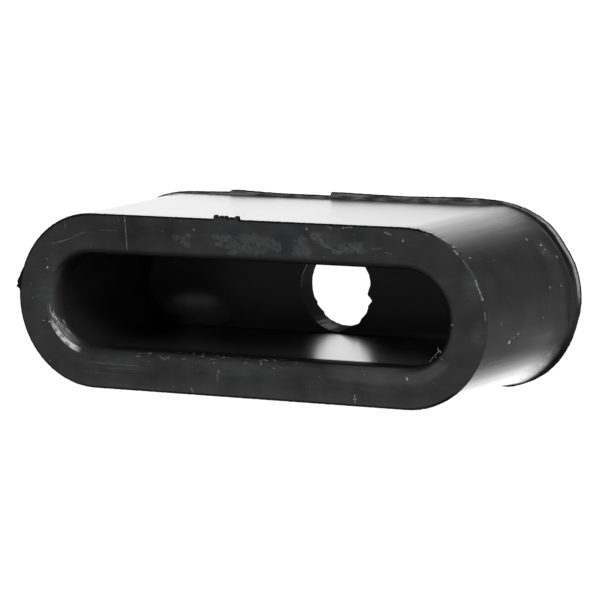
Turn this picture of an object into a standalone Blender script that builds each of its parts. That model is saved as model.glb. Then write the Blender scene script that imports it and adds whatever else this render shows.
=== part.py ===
"""Radiator mount bushing: one moulded rubber block that cushions a radiator's foot.

The block is a slot-shaped prism with round ends. A deep pocket of the same shape opens at its
front and takes the foot. A thin web closes the pocket at the rear, with a round hole through it.
A thin lip runs round the rear edge. It was trimmed by hand, so its upper side has steps.

Metres, +Z up. +X runs along the block, the pocket opens towards -Y, and the origin is the middle
of the space that the block takes up, at its lowest point.
"""
import math

import bmesh
import bpy
import numpy as np
from mathutils import Matrix, Vector

# The block
BODY_LENGTH = 0.0750
BODY_HEIGHT = 0.0250
BODY_DEPTH = 0.0275
BODY_DRAFT = 0.00012
FRONT_EDGE_RADIUS = 0.00030

# The pocket, inside walls of their own thickness
END_WALL = 0.0060
SIDE_WALL = 0.0058
POCKET_CORNER_RADIUS = 0.0063
POCKET_DRAFT = 0.00020
MOUTH_RADIUS = 0.00090

# The web at the rear, and its hole
WEB_THICKNESS = 0.0033
HOLE_MARGIN = 0.00070
HOLE_SHIFT = 0.0011

# The lip round the rear edge
LIP_THICKNESS = 0.0018
LIP_REACH = 0.00073
LIP_ROOT_RADIUS = 0.00040

# How the knife trimmed the lip: distance along the rim from the middle of its upper side,
# towards +X, and how much more or less than its usual reach the lip has there
LIP_TRIM = (
    (-0.0700, 0.0),
    (-0.0448, 0.00022),
    (-0.0370, 0.0),
    (-0.0325, -0.00063),
    (-0.0295, -0.00041),
    (-0.0262, -0.00057),
    (-0.0210, -0.00037),
    (-0.0183, -0.00031),
    (-0.0180, -0.00007),
    (-0.0170, 0.00002),
    (-0.0140, -0.00010),
    (-0.0100, -0.00024),
    (-0.0014, -0.00029),
    (-0.0012, 0.00023),
    (0.0010, 0.00023),
    (0.0040, 0.00015),
    (0.0080, 0.00008),
    (0.0115, 0.00004),
    (0.0160, 0.00013),
    (0.0200, 0.00022),
    (0.0225, 0.00017),
    (0.0250, 0.00002),
    (0.0275, -0.00015),
    (0.0310, 0.00005),
    (0.0340, 0.00018),
    (0.0375, 0.00003),
    (0.0405, 0.00022),
    (0.0453, 0.00022),
    (0.0485, 0.0),
    (0.0565, 0.00015),
    (0.0595, 0.00004),
    (0.0620, -0.00006),
    (0.0640, -0.00038),
    (0.0665, -0.00043),
    (0.0700, 0.0),
)

# The knife ran aslant, so the cuts in the upper side lie further along at the lip's front
KNIFE_SLANT = 0.0010

# Crumbs of flash on the front face's upper edge: place along X, and height over the edge
FLASH_CRUMBS = (
    (-0.00464, 0.0),
    (-0.00454, 0.00050),
    (-0.00341, 0.00044),
    (-0.00261, 0.00046),
    (-0.00213, 0.00023),
    (-0.00149, 0.00031),
    (-0.00132, 0.00047),
    (-0.00052, 0.00054),
    (-0.00045, 0.0),
)
CRUMB_DEPTH = 0.00035

# A nub of flash on the left end: height over the block's middle, and reach past the end
END_NUB = (
    (0.0038, 0.0),
    (0.0026, 0.00022),
    (0.0016, 0.00040),
    (0.0014, 0.00012),
    (0.0004, 0.0),
)
NUB_DEPTH = 0.0016

# Flash starts a little behind the front face, and is rooted in the block
FLASH_SETBACK = 0.00009
FLASH_ROOT = 0.00040

# The hole's edge was torn where it meets the pocket, and nicked at the rear.
# Angle in degrees from +X, and how far the edge stands out from the true circle.
TORN_EDGE = (
    (-165.0, 0.0),
    (-138.0, 0.00014),
    (-120.0, 0.00028),
    (-105.0, 0.00036),
    (-84.0, 0.00036),
    (-75.0, 0.00010),
    (-66.0, -0.00004),
    (-57.0, 0.00024),
    (-51.0, 0.00018),
    (-45.0, 0.0),
    (-33.0, 0.00009),
    (-24.0, -0.00012),
    (-21.0, -0.00003),
    (-15.0, 0.00020),
    (-12.0, -0.00010),
    (-9.0, -0.00055),
    (-6.0, -0.00070),
    (0.0, -0.00052),
    (6.0, -0.00026),
    (12.0, -0.00008),
    (21.0, 0.0),
)
NICKED_EDGE = (
    (-160.0, 0.0),
    (-156.0, -0.00014),
    (-153.0, -0.00018),
    (-150.0, 0.0),
    (-141.0, -0.00012),
    (-135.0, -0.00020),
    (-131.0, 0.0),
)

# How finely round stretches are divided
QUARTER_STEPS = 16
HOLE_STEPS = 120
MOUTH_STEPS = 5
EDGE_STEPS = 3
ROOT_STEPS = 3

# How far a cutter reaches past the face that it opens
OVERSHOOT = 0.0010

WELD_DISTANCE = 0.000001
SMOOTH_ANGLE = math.radians(30)

HALF_LENGTH = BODY_LENGTH / 2
HALF_HEIGHT = BODY_HEIGHT / 2
FRONT_Y = -BODY_DEPTH / 2
REAR_Y = BODY_DEPTH / 2
WEB_Y = REAR_Y - WEB_THICKNESS
LIP_Y = REAR_Y - LIP_THICKNESS
LIP_ROOT_Y = LIP_Y - LIP_ROOT_RADIUS
LIP_ROOT_HEIGHT = HALF_HEIGHT + BODY_DRAFT
MIDDLE_Z = LIP_ROOT_HEIGHT + LIP_REACH

# The line between the centres of the two round ends
BODY_CORE = (HALF_LENGTH - HALF_HEIGHT, 0.0)

POCKET_HALF_LENGTH = HALF_LENGTH - END_WALL
POCKET_HALF_HEIGHT = HALF_HEIGHT - SIDE_WALL
HOLE_RADIUS = POCKET_HALF_HEIGHT - POCKET_DRAFT - HOLE_MARGIN


def empty_scene():
    """Removes every object that the file opened with."""
    for thing in list(bpy.data.objects):
        bpy.data.objects.remove(thing, do_unlink=True)


def new_collection(name):
    collection = bpy.data.collections.new(name)
    bpy.context.scene.collection.children.link(collection)
    return collection


def rubber():
    """Black moulded rubber, a little glossy."""
    material = bpy.data.materials.new("black_rubber")
    material.use_nodes = True
    shader = material.node_tree.nodes["Principled BSDF"]
    shader.inputs["Base Color"].default_value = (0.022, 0.022, 0.023, 1.0)
    shader.inputs["Roughness"].default_value = 0.45
    shader.inputs["Metallic"].default_value = 0.0
    return material


def slot_outline(half_length, half_height, corner_radius):
    """Points (x, z) round a slot with rounded corners, anticlockwise from its lower right corner."""
    points = []
    corners = ((1, -1), (1, 1), (-1, 1), (-1, -1))
    for turn, (side, level) in enumerate(corners):
        centre_x = side * (half_length - corner_radius)
        centre_z = level * (half_height - corner_radius)
        for step in range(QUARTER_STEPS + 1):
            angle = (turn - 1 + step / QUARTER_STEPS) * math.pi / 2
            point = (
                centre_x + corner_radius * math.cos(angle),
                centre_z + corner_radius * math.sin(angle),
            )
            if not points or math.dist(point, points[-1]) > WELD_DISTANCE:
                points.append(point)
    if math.dist(points[0], points[-1]) < WELD_DISTANCE:
        points.pop()
    return points


def outward_from(core, x, z):
    """The outward direction at a point of a slot's outline, from the slot's core.

    The core is the rectangle, or the line, that is left when the corners' radius is taken off.
    """
    near_x = min(max(x, -core[0]), core[0])
    near_z = min(max(z, -core[1]), core[1])
    return Vector((x - near_x, 0.0, z - near_z)).normalized()


def push_out(verts, core, distance):
    """Moves vertices outwards from a slot's core, square to its outline."""
    for vert in verts:
        vert.co += outward_from(core, vert.co.x, vert.co.z - MIDDLE_Z) * distance


def on_upper_side(x, z):
    return z > 0 and abs(x) < BODY_CORE[0]


def rim_distance(x, z):
    """Distance along the rim from the middle of its upper side, positive towards +X."""
    side = math.copysign(1.0, x)
    past_straight = abs(x) - BODY_CORE[0]
    if past_straight >= 0:
        return side * (BODY_CORE[0] + LIP_ROOT_HEIGHT * math.atan2(past_straight, z))
    if z > 0:
        return x
    return side * (BODY_CORE[0] + LIP_ROOT_HEIGHT * math.pi - past_straight)


def lip_reach(x, z):
    """How far the trimmed lip stands out at a point of its front edge."""
    if on_upper_side(x, z):
        x = max(x - KNIFE_SLANT, -BODY_CORE[0])
    places, offsets = zip(*LIP_TRIM)
    return max(LIP_REACH + float(np.interp(rim_distance(x, z), places, offsets)), 0.0)


def block_outline():
    """The block's front outline, with a point on its upper side for each cut in the lip."""
    outline = slot_outline(HALF_LENGTH, HALF_HEIGHT, HALF_HEIGHT)
    cuts = [place for place, offset in reversed(LIP_TRIM) if abs(place) < BODY_CORE[0]]
    upper_left = next(i for i, (x, z) in enumerate(outline) if z > 0 and x < 0)
    outline[upper_left:upper_left] = [(place + KNIFE_SLANT, HALF_HEIGHT) for place in cuts]
    return outline


def flat_piece(name, outline, front, rear, collection):
    """A prism between two depths, from an outline of (x, z) points about the block's middle."""
    curve = bpy.data.curves.new(name + "_outline", "CURVE")
    curve.dimensions = "2D"
    curve.fill_mode = "BOTH"
    curve.extrude = (rear - front) / 2
    spline = curve.splines.new("POLY")
    spline.points.add(len(outline) - 1)
    for point, (x, z) in zip(spline.points, outline):
        point.co = (x, z, 0.0, 1.0)
    spline.use_cyclic_u = True

    guide = bpy.data.objects.new(name + "_outline", curve)
    guide.location = (0.0, (front + rear) / 2, MIDDLE_Z)
    guide.rotation_euler = (math.pi / 2, 0.0, 0.0)
    collection.objects.link(guide)
    bpy.context.view_layer.update()

    evaluated = guide.evaluated_get(bpy.context.evaluated_depsgraph_get())
    mesh = bpy.data.meshes.new_from_object(evaluated)
    mesh.name = name
    piece = bpy.data.objects.new(name, mesh)
    piece.matrix_world = guide.matrix_world.copy()
    collection.objects.link(piece)
    bpy.data.objects.remove(guide, do_unlink=True)

    shape = bmesh.new()
    shape.from_mesh(mesh)
    bmesh.ops.remove_doubles(shape, verts=shape.verts, dist=WELD_DISTANCE)
    bmesh.ops.dissolve_limit(shape, angle_limit=math.radians(0.1), verts=[], edges=shape.edges)
    bmesh.ops.transform(shape, matrix=piece.matrix_world, verts=shape.verts)
    bmesh.ops.recalc_face_normals(shape, faces=shape.faces)
    shape.to_mesh(mesh)
    shape.free()
    piece.matrix_world = Matrix.Identity(4)
    return piece


def as_cutter(piece):
    """A cutter is a guide: it shows as wires and is never rendered."""
    piece.hide_render = True
    piece.display_type = "WIRE"


def add_boolean(piece, cutter, operation):
    modifier = piece.modifiers.new(cutter.name, "BOOLEAN")
    modifier.operation = operation
    modifier.solver = "EXACT"
    modifier.object = cutter


def verts_at(shape, depth):
    """The vertices that lie at one depth."""
    return {vert for vert in shape.verts if abs(vert.co.y - depth) < WELD_DISTANCE}


def extrude_cap(shape, cap, advance):
    """Extrudes the face that closes a prism along Y, and returns the new one."""
    made = bmesh.ops.extrude_face_region(shape, geom=[cap])["geom"]
    bmesh.ops.delete(shape, geom=[cap], context="FACES_ONLY")
    new_cap = next(item for item in made if isinstance(item, bmesh.types.BMFace))
    bmesh.ops.translate(shape, vec=(0.0, advance, 0.0), verts=new_cap.verts)
    return new_cap


def cap_at(shape, depth):
    """The face that closes a prism at one depth."""
    level = verts_at(shape, depth)
    return next(face for face in shape.faces if level.issuperset(face.verts))


def add_lip(shape):
    """The lip round the rear edge: a fillet at its root, its front, and its rim as the knife left it."""
    quarter = [step / ROOT_STEPS * math.pi / 2 for step in range(ROOT_STEPS + 1)]
    rings = [
        (LIP_ROOT_Y + LIP_ROOT_RADIUS * math.sin(a), LIP_ROOT_RADIUS * (1 - math.cos(a)))
        for a in quarter[1:]
    ]
    furthest = LIP_REACH + max(offset for place, offset in LIP_TRIM)
    rings += [(LIP_Y, furthest), (REAR_Y, furthest)]

    cap = cap_at(shape, LIP_ROOT_Y)
    last_y, last_limit = LIP_ROOT_Y, 0.0
    for ring_y, limit in rings:
        cap = extrude_cap(shape, cap, ring_y - last_y)
        for vert in cap.verts:
            x, z = vert.co.x, vert.co.z - MIDDLE_Z
            reach = lip_reach(x, z)
            vert.co += outward_from(BODY_CORE, x, z) * (min(reach, limit) - min(reach, last_limit))
        last_y, last_limit = ring_y, limit
    for vert in cap.verts:
        if on_upper_side(vert.co.x, vert.co.z - MIDDLE_Z):
            vert.co.x = max(vert.co.x - KNIFE_SLANT, -BODY_CORE[0])
    bmesh.ops.remove_doubles(shape, verts=shape.verts, dist=WELD_DISTANCE)


def make_block(collection):
    """The slot-shaped block, a little larger at the rear, with its front edge rounded."""
    block = flat_piece("mount_bushing", block_outline(), FRONT_Y, LIP_ROOT_Y, collection)
    shape = bmesh.new()
    shape.from_mesh(block.data)
    push_out(verts_at(shape, LIP_ROOT_Y), BODY_CORE, BODY_DRAFT)
    front_verts = verts_at(shape, FRONT_Y)
    front_edges = [edge for edge in shape.edges if front_verts.issuperset(edge.verts)]
    bmesh.ops.bevel(
        shape,
        geom=front_edges,
        offset=FRONT_EDGE_RADIUS,
        offset_type="OFFSET",
        segments=EDGE_STEPS,
        profile=0.5,
        affect="EDGES",
        material=-1,
    )
    add_lip(shape)
    bmesh.ops.recalc_face_normals(shape, faces=shape.faces)
    shape.to_mesh(block.data)
    shape.free()
    return block


def make_pocket(collection):
    """The pocket: it narrows towards the web, and opens at the mouth in a quarter round."""
    corner = min(POCKET_CORNER_RADIUS, POCKET_HALF_HEIGHT)
    core = (POCKET_HALF_LENGTH - corner, POCKET_HALF_HEIGHT - corner)
    outline = slot_outline(POCKET_HALF_LENGTH, POCKET_HALF_HEIGHT, corner)
    throat_y = FRONT_Y + MOUTH_RADIUS
    pocket = flat_piece("pocket", outline, throat_y, WEB_Y, collection)

    quarter = [step / MOUTH_STEPS * math.pi / 2 for step in range(MOUTH_STEPS + 1)]
    rings = [(throat_y - MOUTH_RADIUS * math.sin(a), MOUTH_RADIUS * (1 - math.cos(a))) for a in quarter]
    rings.append((FRONT_Y - OVERSHOOT, MOUTH_RADIUS))

    shape = bmesh.new()
    shape.from_mesh(pocket.data)
    push_out(verts_at(shape, WEB_Y), core, -POCKET_DRAFT)
    cap = cap_at(shape, throat_y)
    for (last_y, last_growth), (ring_y, growth) in zip(rings, rings[1:]):
        cap = extrude_cap(shape, cap, ring_y - last_y)
        push_out(cap.verts, core, growth - last_growth)
    bmesh.ops.recalc_face_normals(shape, faces=shape.faces)
    shape.to_mesh(pocket.data)
    shape.free()
    as_cutter(pocket)
    return pocket


def edge_offset(angle, edge_marks):
    """How far a torn edge stands out from the true circle at an angle."""
    angles, offsets = zip(*edge_marks)
    return float(np.interp(math.degrees(angle), angles, offsets))


def make_hole(collection):
    """The hole through the web: round, torn at the pocket's side, and nicked at the rear."""
    front, rear = WEB_Y - OVERSHOOT, REAR_Y + OVERSHOOT
    bpy.ops.mesh.primitive_cylinder_add(
        vertices=HOLE_STEPS,
        radius=HOLE_RADIUS,
        depth=rear - front,
        location=(HOLE_SHIFT, (front + rear) / 2, MIDDLE_Z),
        rotation=(math.pi / 2, 0.0, 0.0),
    )
    hole = bpy.context.active_object
    hole.name = "hole"
    for other in list(hole.users_collection):
        other.objects.unlink(hole)
    collection.objects.link(hole)

    shape = bmesh.new()
    shape.from_mesh(hole.data)
    bmesh.ops.transform(shape, matrix=hole.matrix_world, verts=shape.verts)
    for level in (WEB_Y, REAR_Y):
        bmesh.ops.bisect_plane(
            shape,
            geom=shape.verts[:] + shape.edges[:] + shape.faces[:],
            plane_co=(0.0, level, 0.0),
            plane_no=(0.0, 1.0, 0.0),
        )
    centre = Vector((HOLE_SHIFT, 0.0, MIDDLE_Z))
    for vert in shape.verts:
        outward = Vector((vert.co.x - centre.x, 0.0, vert.co.z - centre.z)).normalized()
        angle = math.atan2(outward.z, outward.x)
        share = min(max((REAR_Y - vert.co.y) / WEB_THICKNESS, 0.0), 1.0)
        offset = edge_offset(angle, TORN_EDGE) * share + edge_offset(angle, NICKED_EDGE) * (1 - share)
        vert.co += outward * offset
    shape.to_mesh(hole.data)
    shape.free()
    hole.matrix_world = Matrix.Identity(4)
    as_cutter(hole)
    return hole


def make_crumbs(collection):
    """The crumbs of flash along the front face's upper edge."""
    outline = [(x, HALF_HEIGHT + height) for x, height in FLASH_CRUMBS]
    first_x, last_x = FLASH_CRUMBS[0][0], FLASH_CRUMBS[-1][0]
    outline += [(last_x, HALF_HEIGHT - FLASH_ROOT), (first_x, HALF_HEIGHT - FLASH_ROOT)]
    front = FRONT_Y + FLASH_SETBACK
    crumbs = flat_piece("flash_crumbs", outline, front, front + CRUMB_DEPTH, collection)
    as_cutter(crumbs)
    return crumbs


def make_nub(collection):
    """The nub of flash on the left end."""
    outline = []
    for height, reach in END_NUB:
        end_x = HALF_LENGTH - HALF_HEIGHT + math.sqrt(HALF_HEIGHT ** 2 - height ** 2)
        outline.append((-(end_x + reach), height))
    top, bottom = END_NUB[0][0], END_NUB[-1][0]
    root_x = -(HALF_LENGTH - FLASH_ROOT * 2)
    outline += [(root_x, bottom), (root_x, top)]
    front = FRONT_Y + FLASH_SETBACK
    nub = flat_piece("end_nub", outline, front, front + NUB_DEPTH, collection)
    as_cutter(nub)
    return nub


def build():
    empty_scene()
    parts = new_collection("radiator_mount_bushing")
    cutters = new_collection("cutters")

    bushing = make_block(parts)
    add_boolean(bushing, make_crumbs(cutters), "UNION")
    add_boolean(bushing, make_nub(cutters), "UNION")
    add_boolean(bushing, make_pocket(cutters), "DIFFERENCE")
    add_boolean(bushing, make_hole(cutters), "DIFFERENCE")

    bushing.data.materials.append(rubber())
    bushing.data.shade_smooth()
    bushing.data.set_sharp_from_angle(angle=SMOOTH_ANGLE)


build()
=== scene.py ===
"""Looks of a radiator mount bushing: one moulded block of black rubber on a white table.

Metres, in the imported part's own frame: +X along the block, the pocket opens towards -Y, +Z up.
Sizes of the rubber are given in millimetres, with heights over the block's middle.
"""
import math

import bmesh
import bpy
import numpy as np
from mathutils import Matrix, Vector, noise


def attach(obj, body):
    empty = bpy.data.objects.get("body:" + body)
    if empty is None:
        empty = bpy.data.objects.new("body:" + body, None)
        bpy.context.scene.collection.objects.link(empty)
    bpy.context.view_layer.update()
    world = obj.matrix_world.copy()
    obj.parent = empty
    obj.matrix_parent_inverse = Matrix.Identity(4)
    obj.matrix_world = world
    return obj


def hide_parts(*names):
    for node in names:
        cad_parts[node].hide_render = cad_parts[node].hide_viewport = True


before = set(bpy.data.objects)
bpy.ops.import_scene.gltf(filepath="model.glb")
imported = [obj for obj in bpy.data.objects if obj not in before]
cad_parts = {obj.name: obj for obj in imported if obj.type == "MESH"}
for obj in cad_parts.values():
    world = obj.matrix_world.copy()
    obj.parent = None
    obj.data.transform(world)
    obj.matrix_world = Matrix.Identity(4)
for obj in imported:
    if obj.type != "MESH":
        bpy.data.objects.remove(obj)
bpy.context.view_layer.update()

# The moulded block
# One piece of black rubber, pressed in a two-part mould: a slot-shaped block with a deep pocket,
# closed by a thin web with a drain hole, and with a thin lip at the rear that a knife trimmed.
# Its skin is one loop of points, carried ring by ring from the hole's edge round to it again.
MM = 0.001
FRONT, REAR = -13.75, 13.75
MIDDLE_HEIGHT = 13.35
CORE = 25.0
END_RADIUS = 12.5
DRAFT = 0.12
FRONT_EDGE = 0.30

POCKET_CORE = 25.2
POCKET_END = 6.3
POCKET_HALF_HEIGHT = 6.7
POCKET_DRAFT = 0.2
MOUTH_RADIUS = 0.9
THROAT = FRONT + MOUTH_RADIUS
WEB = REAR - 3.3
WEB_CORNER = 0.15

HOLE_RADIUS = 5.8
HOLE_SHIFT = 1.1
HOLE_RAGGED = 0.06
# Angle in degrees from +X, and how far the hole's edge stands out from the true circle
TORN_EDGE = (
    (-180, 0.00), (-165, 0.00), (-138, 0.14), (-120, 0.28), (-105, 0.36), (-84, 0.36),
    (-75, 0.10), (-66, -0.04), (-57, 0.24), (-51, 0.18), (-45, 0.00), (-33, 0.09), (-24, -0.12),
    (-21, -0.03), (-15, 0.20), (-12, -0.10), (-9, -0.55), (-6, -0.70), (0, -0.52), (6, -0.26),
    (12, -0.08), (21, 0.00), (180, 0.00),
)
NICKED_EDGE = (
    (-180, 0.00), (-160, 0.00), (-156, -0.14), (-153, -0.18), (-150, 0.00), (-141, -0.12),
    (-135, -0.20), (-131, 0.00), (180, 0.00),
)

LIP_FRONT = REAR - 1.8
LIP_ROOT = 0.20
LIP_ROOT_START = LIP_FRONT - LIP_ROOT
LIP_EDGE = 0.10
LEAST_LIP = 0.05
KNIFE_SLANT = 1.0
# Waves that the knife left: how far they reach, and how close they lie along the rim and across it
KNIFE_WAVES = ((0.05, 1.1, 0.3, 0.0), (0.04, 4.0, 0.8, 3.0))
# Distance along the rim from the middle of its upper side, and how far the lip reaches there
LIP_TRIM = (
    (-70.0, 0.73), (-44.8, 0.95), (-37.0, 0.73), (-31.5, 0.10), (-28.8, 0.34), (-26.2, 0.24),
    (-21.0, 0.36), (-18.3, 0.42), (-18.0, 0.66), (-17.0, 0.75), (-14.0, 0.63), (-10.0, 0.49),
    (-1.4, 0.44), (-1.2, 0.96), (1.0, 0.96), (4.0, 0.88), (8.0, 0.81), (11.5, 0.77), (16.0, 0.86),
    (20.0, 0.95), (22.5, 0.90), (25.0, 0.77), (27.2, 0.68), (29.25, 0.70), (29.35, 0.64),
    (29.50, 0.64), (29.60, 0.76), (31.0, 0.78), (34.0, 0.91), (37.5, 0.76), (40.5, 0.95),
    (45.3, 0.95), (48.5, 0.73), (56.5, 0.88), (59.5, 0.77), (61.8, 0.64), (63.4, 0.22),
    (66.5, 0.12), (70.0, 0.73),
)
# Distance along the rim, and how far the block swells out into the lip's root there
ROOT_SWELL = (
    (-70.0, 0.08), (20.0, 0.08), (25.0, 0.16), (28.0, 0.45), (31.0, 0.48), (34.0, 0.24),
    (38.0, 0.08), (46.5, 0.08), (50.0, 0.46), (59.5, 0.58), (63.0, 0.20), (67.0, 0.08),
)
SWELL_START = 7.0

# Distance along the rim, and how ragged the front face's edge is there
RAGGED_EDGE = (
    (-64.0, 0.04), (-25.0, 0.04), (0.0, 0.05), (24.5, 0.05), (26.0, 0.14), (34.0, 0.14),
    (36.0, 0.04), (64.0, 0.04),
)

# Crumbs of flash on the front face's upper edge: place along X, and height over the edge
CRUMBS_END = -5.0
FLASH_CRUMBS = (
    (-4.74, 0.00), (-4.68, 0.52), (-4.22, 0.56), (-4.12, 0.36), (-3.80, 0.34), (-3.74, 0.46),
    (-3.36, 0.48), (-3.28, 0.30), (-3.02, 0.34), (-2.96, 0.50), (-2.60, 0.46), (-2.52, 0.12),
    (-2.22, 0.12), (-2.14, 0.32), (-1.82, 0.30), (-1.74, 0.10), (-1.62, 0.12), (-1.54, 0.34),
    (-1.26, 0.30), (-1.20, 0.52), (-0.78, 0.50), (-0.70, 0.00),
)
# A nub of flash on the left end: height over the block's middle, and reach past the end
END_NUB = (
    (0.9, 0.00), (1.3, 0.20), (1.45, 0.62), (1.75, 0.66), (1.85, 0.42), (2.3, 0.60), (2.6, 0.50),
    (3.0, 0.30), (3.6, 0.22), (4.4, 0.00),
)


def loop_places():
    """Where each point of the loop lies: its place along the core from -1 to 1, and its turn.

    The points lie closest where the crumbs of flash are.
    """
    right = np.linspace(-90, 90, 220, endpoint=False)
    top = np.concatenate([
        np.linspace(CORE, 0, 90, endpoint=False),
        np.linspace(0, CRUMBS_END, 70, endpoint=False),
        np.linspace(CRUMBS_END, -CORE, 70, endpoint=False),
    ])
    left = np.linspace(90, 270, 190, endpoint=False)
    bottom = np.linspace(-CORE, CORE, 180, endpoint=False)
    places = [(1.0, math.radians(turn)) for turn in right]
    places += [(x / CORE, math.pi / 2) for x in top]
    places += [(-1.0, math.radians(turn)) for turn in left]
    places += [(x / CORE, math.pi * 1.5) for x in bottom]
    return places


def slot(core, end, half_height):
    """A slot's outline: the point (x, z) that it has at a place on the loop."""
    def outline(along, turn):
        level = min(max(4 * math.sin(turn), -1), 1)
        x = along * core + end * math.cos(turn)
        return x, end * math.sin(turn) + level * (half_height - end)

    return outline


def pocket_wall(depth, growth=0.0):
    """The pocket's outline at a depth. It narrows towards the web."""
    narrow = POCKET_DRAFT * min(max((depth - THROAT) / (WEB - THROAT), 0.0), 1.0)
    return slot(POCKET_CORE, POCKET_END - narrow + growth, POCKET_HALF_HEIGHT - narrow + growth)


LOOP_SQUASH = 2.2


def hole_edge(depth):
    """The hole's outline at a depth: torn at the pocket's side, and nicked at the rear.

    The loop is squashed first, so that its points lie evenly round the hole.
    """
    share = (REAR - depth) / (REAR - WEB)

    def outline(along, turn):
        x = along * CORE + END_RADIUS * math.cos(turn)
        angle = math.atan2(END_RADIUS * math.sin(turn), x / LOOP_SQUASH)
        torn = np.interp(math.degrees(angle), *zip(*TORN_EDGE))
        nicked = np.interp(math.degrees(angle), *zip(*NICKED_EDGE))
        around = Vector((math.cos(angle), math.sin(angle), 0.0))
        ragged = HOLE_RAGGED * noise.noise(around * 9 + Vector((0, 0, depth * 0.5)))
        radius = HOLE_RADIUS + share * torn + (1 - share) * nicked + ragged
        return HOLE_SHIFT + radius * math.cos(angle), radius * math.sin(angle)

    return outline


def rim_distance(along, turn):
    """Distance along the lip's root from the middle of its upper side, positive towards +X."""
    root = END_RADIUS + DRAFT
    if abs(along) == 1:
        past_top = math.pi / 2 - turn if along > 0 else turn - math.pi / 2
        return along * (CORE + root * past_top)
    if math.sin(turn) > 0:
        return along * CORE
    return math.copysign(CORE + math.pi * root + CORE * (1 - abs(along)), along)


def block_radius(depth, along, turn):
    """How far the block's side stands out from its core, swelling a little into the lip."""
    share = (depth - FRONT) / (LIP_ROOT_START - FRONT)
    swell = np.interp(rim_distance(along, turn), *zip(*ROOT_SWELL))
    near = min(max((depth - SWELL_START) / (LIP_FRONT - SWELL_START), 0.0), 1.0)
    return END_RADIUS + DRAFT * share + swell * near ** 2


def block_side(depth, inset=0.0, flash=0.0, ragged=0.0):
    """The block's outline at a depth. Flash is the share of the crumbs and the nub to add."""
    def outline(along, turn):
        out = block_radius(depth, along, turn) - inset
        distance = rim_distance(along, turn)
        torn = np.interp(distance, *zip(*RAGGED_EDGE))
        coarse = noise.noise(Vector((distance * 1.7, 0, 7)))
        fine = noise.noise(Vector((distance * 5, 0, 1)))
        out += ragged * torn * (coarse + fine)
        x, z = along * CORE + out * math.cos(turn), out * math.sin(turn)
        if z > 0 and abs(along) < 1:
            z += flash * np.interp(x, *zip(*FLASH_CRUMBS))
        if along == -1:
            x -= flash * np.interp(z, *zip(*END_NUB))
        return x, z

    return outline


def lip_edge(depth, limit=math.inf, rounding=0.0):
    """The lip's outline at a depth: no further than a limit, or than the knife's cut."""
    lead = KNIFE_SLANT * (REAR - depth) / (REAR - LIP_FRONT)

    def outline(along, turn):
        distance = rim_distance(along, turn)
        if abs(distance) < CORE:
            distance = max(distance - lead, -CORE)
        reach = np.interp(distance, *zip(*LIP_TRIM))
        for high, close, across, start in KNIFE_WAVES:
            reach += high * noise.noise(Vector((distance * close, depth * across, start)))
        swell = block_radius(LIP_FRONT, along, turn) - END_RADIUS - DRAFT
        reach = max(reach, swell + LEAST_LIP)
        out = END_RADIUS + DRAFT + min(reach - min(rounding, reach / 2), swell + limit)
        return along * CORE + out * math.cos(turn), out * math.sin(turn)

    return outline


def between(inner, outer, share):
    """An outline part of the way from one to another."""
    def outline(along, turn):
        inner_x, inner_z = inner(along, turn)
        outer_x, outer_z = outer(along, turn)
        return inner_x + (outer_x - inner_x) * share, inner_z + (outer_z - inner_z) * share

    return outline


def quarter(steps):
    """Sine and 1 - cosine at even steps through a quarter turn, without its start."""
    return [(math.sin(a), 1 - math.cos(a)) for a in np.linspace(0, math.pi / 2, steps + 1)[1:]]


WEAR_END = FRONT + 3.0


def wear(depth, rise=0.0):
    """How worn the pocket's wall is: all round the mouth, and deeper in at the left end."""
    inside = min(max((WEAR_END - depth) / (WEAR_END - THROAT), 0.0), 1.0)
    inside *= inside * (3 - 2 * inside)

    def at(along, turn):
        left = max(-math.cos(turn), 0.0) if along == -1 else 0.0
        return max(rise, left ** 0.5 * inside)

    return at


def greyer_right_arc(least):
    """How grey and dull the front face's edge is: least everywhere but round the right end."""
    def at(along, turn):
        right = min(max(4 * math.cos(turn) - 1, 0.0), 1.0) if along == 1 else 0.0
        return least + (1 - least) * right

    return at


# Each ring of the skin: its depth, its outline, how dull the rubber is there, and how grey.
# From the hole's edge along the web and the pocket's wall, out over the mouth and the front face.
web_edge = pocket_wall(WEB, -WEB_CORNER)
rings = [(WEB, hole_edge(WEB), 0.1, 0.0)]
for share in (0.03, 0.1, 0.25, 0.45, 0.7, 0.9, 1.0):
    rings.append((WEB, between(hole_edge(WEB), web_edge, share), 0.0, 0.0))
for sine, rise in quarter(3):
    rings.append((WEB - WEB_CORNER * rise, pocket_wall(WEB, -WEB_CORNER * (1 - sine)), 0.2, 0.0))
for depth in (10.1, 9.0, 7.0, 4.5, 2.0, -0.5, -3.0, -5.5, -8.0, -10.0):
    rings.append((depth, pocket_wall(depth), 0.0, 0.0))
for depth in (-10.7, -11.2, -11.7, -12.1, -12.5, THROAT):
    rings.append((depth, pocket_wall(depth), wear(depth), wear(depth)))
for sine, rise in quarter(9):
    depth = THROAT - MOUTH_RADIUS * sine
    worn = wear(depth, rise)
    rings.append((depth, pocket_wall(THROAT, MOUTH_RADIUS * rise), worn, worn))
mouth = pocket_wall(THROAT, MOUTH_RADIUS)
face_edge = block_side(FRONT, FRONT_EDGE)
for share in (0.03, 0.08, 0.14, 0.21, 0.28, 0.36, 0.44, 0.52, 0.60, 0.68, 0.76, 0.84, 0.91, 0.95):
    rings.append((FRONT, between(mouth, face_edge, share), 1.0, 1.0))
rings.append((FRONT, block_side(FRONT, FRONT_EDGE, 1.0), 1.0, greyer_right_arc(0.85)))
for (sine, rise), least in zip(quarter(5), (0.5, 0.1, 0.0, 0.0, 0.0)):
    depth = FRONT + FRONT_EDGE * rise
    side = block_side(depth, FRONT_EDGE * (1 - sine), 1.0, sine)
    rings.append((depth, side, greyer_right_arc(least), greyer_right_arc(least)))

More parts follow.
